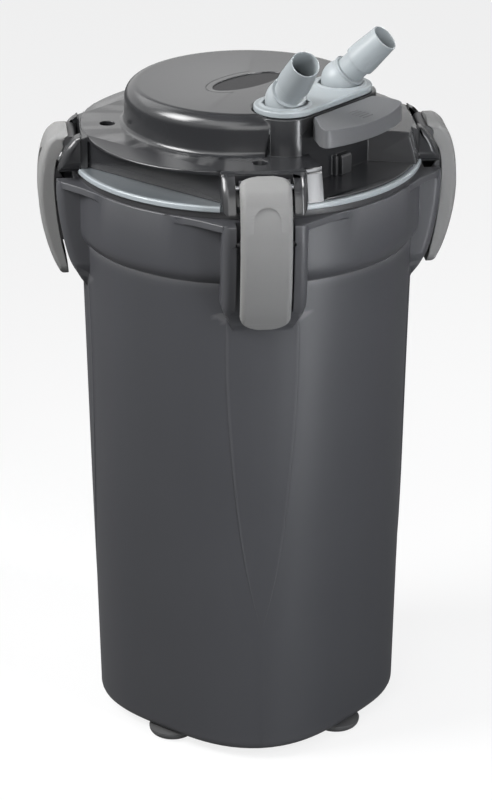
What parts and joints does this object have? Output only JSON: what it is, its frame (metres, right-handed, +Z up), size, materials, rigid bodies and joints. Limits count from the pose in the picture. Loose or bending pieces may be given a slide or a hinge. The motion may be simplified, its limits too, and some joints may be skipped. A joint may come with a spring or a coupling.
{
  "type": "canister filter",
  "caption": "Tall aquarium canister filter with a tapered barrel, side clamps, round pump head, lift-out tap block and swivelling hose tails.",
  "frame": {"origin": "on the floor under the middle of the canister", "axes": "+Z up, front clamp towards -Y, release lever towards +X -Y"},
  "size_m": [0.2382, 0.2382, 0.4231],
  "materials": {
    "body_plastic": "fine satin moulding",
    "head_plastic": "polished moulding",
    "pale_plastic": "pale blue-grey satin",
    "clamp_plastic": "soft-touch warm grey",
    "lever_plastic": "satin dark grey",
    "black_plastic": "satin",
    "rubber": "matte",
    "steel": "turned",
    "potting": "cast resin",
    "magnet": "sealed",
    "ceramic": "sintered",
    "basket_plastic": "satin",
    "ceramic_media": "porous",
    "bio_media": "porous",
    "blue_foam": "open foam",
    "white_floss": "fine floss"
  },
  "bodies": {
    "canister": {"canister_body": "body_plastic", "feet": "rubber", "media_basket_1": "basket_plastic", "media_basket_2": "basket_plastic", "media_basket_3": "basket_plastic", "media_basket_4": "basket_plastic", "ceramic_media": "ceramic_media", "bio_media": "bio_media", "coarse_sponge": "blue_foam", "fine_pad": "white_floss", "basket_handle": "lever_plastic"},
    "head": {"head_housing": "head_plastic", "head_base": "black_plastic", "seal_ring": "pale_plastic", "head_gasket": "rubber", "head_screws": "steel", "badge_plate": "black_plastic", "cable_gland": "black_plastic", "lever_pin": "steel", "pump_housing": "black_plastic", "motor_stator": "potting", "impeller_shaft": "ceramic", "shaft_bushes": "rubber", "pump_cover": "black_plastic", "clamp_pin_front": "steel", "clamp_pin_right": "steel", "clamp_pin_back": "steel", "clamp_pin_left": "steel"},
    "clamp_front": {"clamp_shell_front": "clamp_plastic", "clamp_frame_front": "black_plastic"},
    "clamp_right": {"clamp_shell_right": "clamp_plastic", "clamp_frame_right": "black_plastic"},
    "clamp_back": {"clamp_shell_back": "clamp_plastic", "clamp_frame_back": "black_plastic"},
    "clamp_left": {"clamp_shell_left": "clamp_plastic", "clamp_frame_left": "black_plastic"},
    "tap": {"tap_block": "pale_plastic", "spigot_seals": "rubber"},
    "front_hose_elbow": {"front_elbow": "pale_plastic", "front_elbow_seal": "rubber"},
    "rear_hose_elbow": {"rear_elbow": "pale_plastic", "rear_elbow_seal": "rubber"},
    "lever": {"release_lever": "lever_plastic"},
    "rotor": {"rotor_magnet": "magnet", "impeller": "pale_plastic"}
  },
  "joints": [
    {"name": "head_lift", "type": "slide", "parent": "canister", "child": "head", "axis": [0, 0, 1], "range_m": [0, 0.09]},
    {"name": "clamp_front_swing", "type": "hinge", "parent": "head", "child": "clamp_front", "pos_m": [0, -0.1006, 0.3568], "axis": [-1, 0, 0], "range_deg": [0, 60]},
    {"name": "clamp_right_swing", "type": "hinge", "parent": "head", "child": "clamp_right", "pos_m": [0.1006, 0, 0.3568], "axis": [0, -1, 0], "range_deg": [0, 60]},
    {"name": "clamp_back_swing", "type": "hinge", "parent": "head", "child": "clamp_back", "pos_m": [0, 0.1006, 0.3568], "axis": [1, 0, 0], "range_deg": [0, 60]},
    {"name": "clamp_left_swing", "type": "hinge", "parent": "head", "child": "clamp_left", "pos_m": [-0.1006, 0, 0.3568], "axis": [0, 1, 0], "range_deg": [0, 60]},
    {"name": "tap_lift", "type": "slide", "parent": "head", "child": "tap", "axis": [0, 0, 1], "range_m": [0, 0.036]},
    {"name": "front_elbow_turn", "type": "hinge", "parent": "tap", "child": "front_hose_elbow", "pos_m": [0.0164, -0.05148, 0.3912], "axis": [0, 0, 1], "continuous": true},
    {"name": "rear_elbow_turn", "type": "hinge", "parent": "tap", "child": "rear_hose_elbow", "pos_m": [0.05148, -0.0164, 0.3912], "axis": [0, 0, 1], "continuous": true},
    {"name": "lever_swing", "type": "hinge", "parent": "head", "child": "lever", "pos_m": [0.04971, -0.04971, 0.3816], "axis": [-0.7071, -0.7071, 0], "range_deg": [0, 65]},
    {"name": "impeller_spin", "type": "hinge", "parent": "head", "child": "rotor", "pos_m": [-0.01697, 0.01697, 0.3375], "axis": [0, 0, 1], "continuous": true}
  ]
}
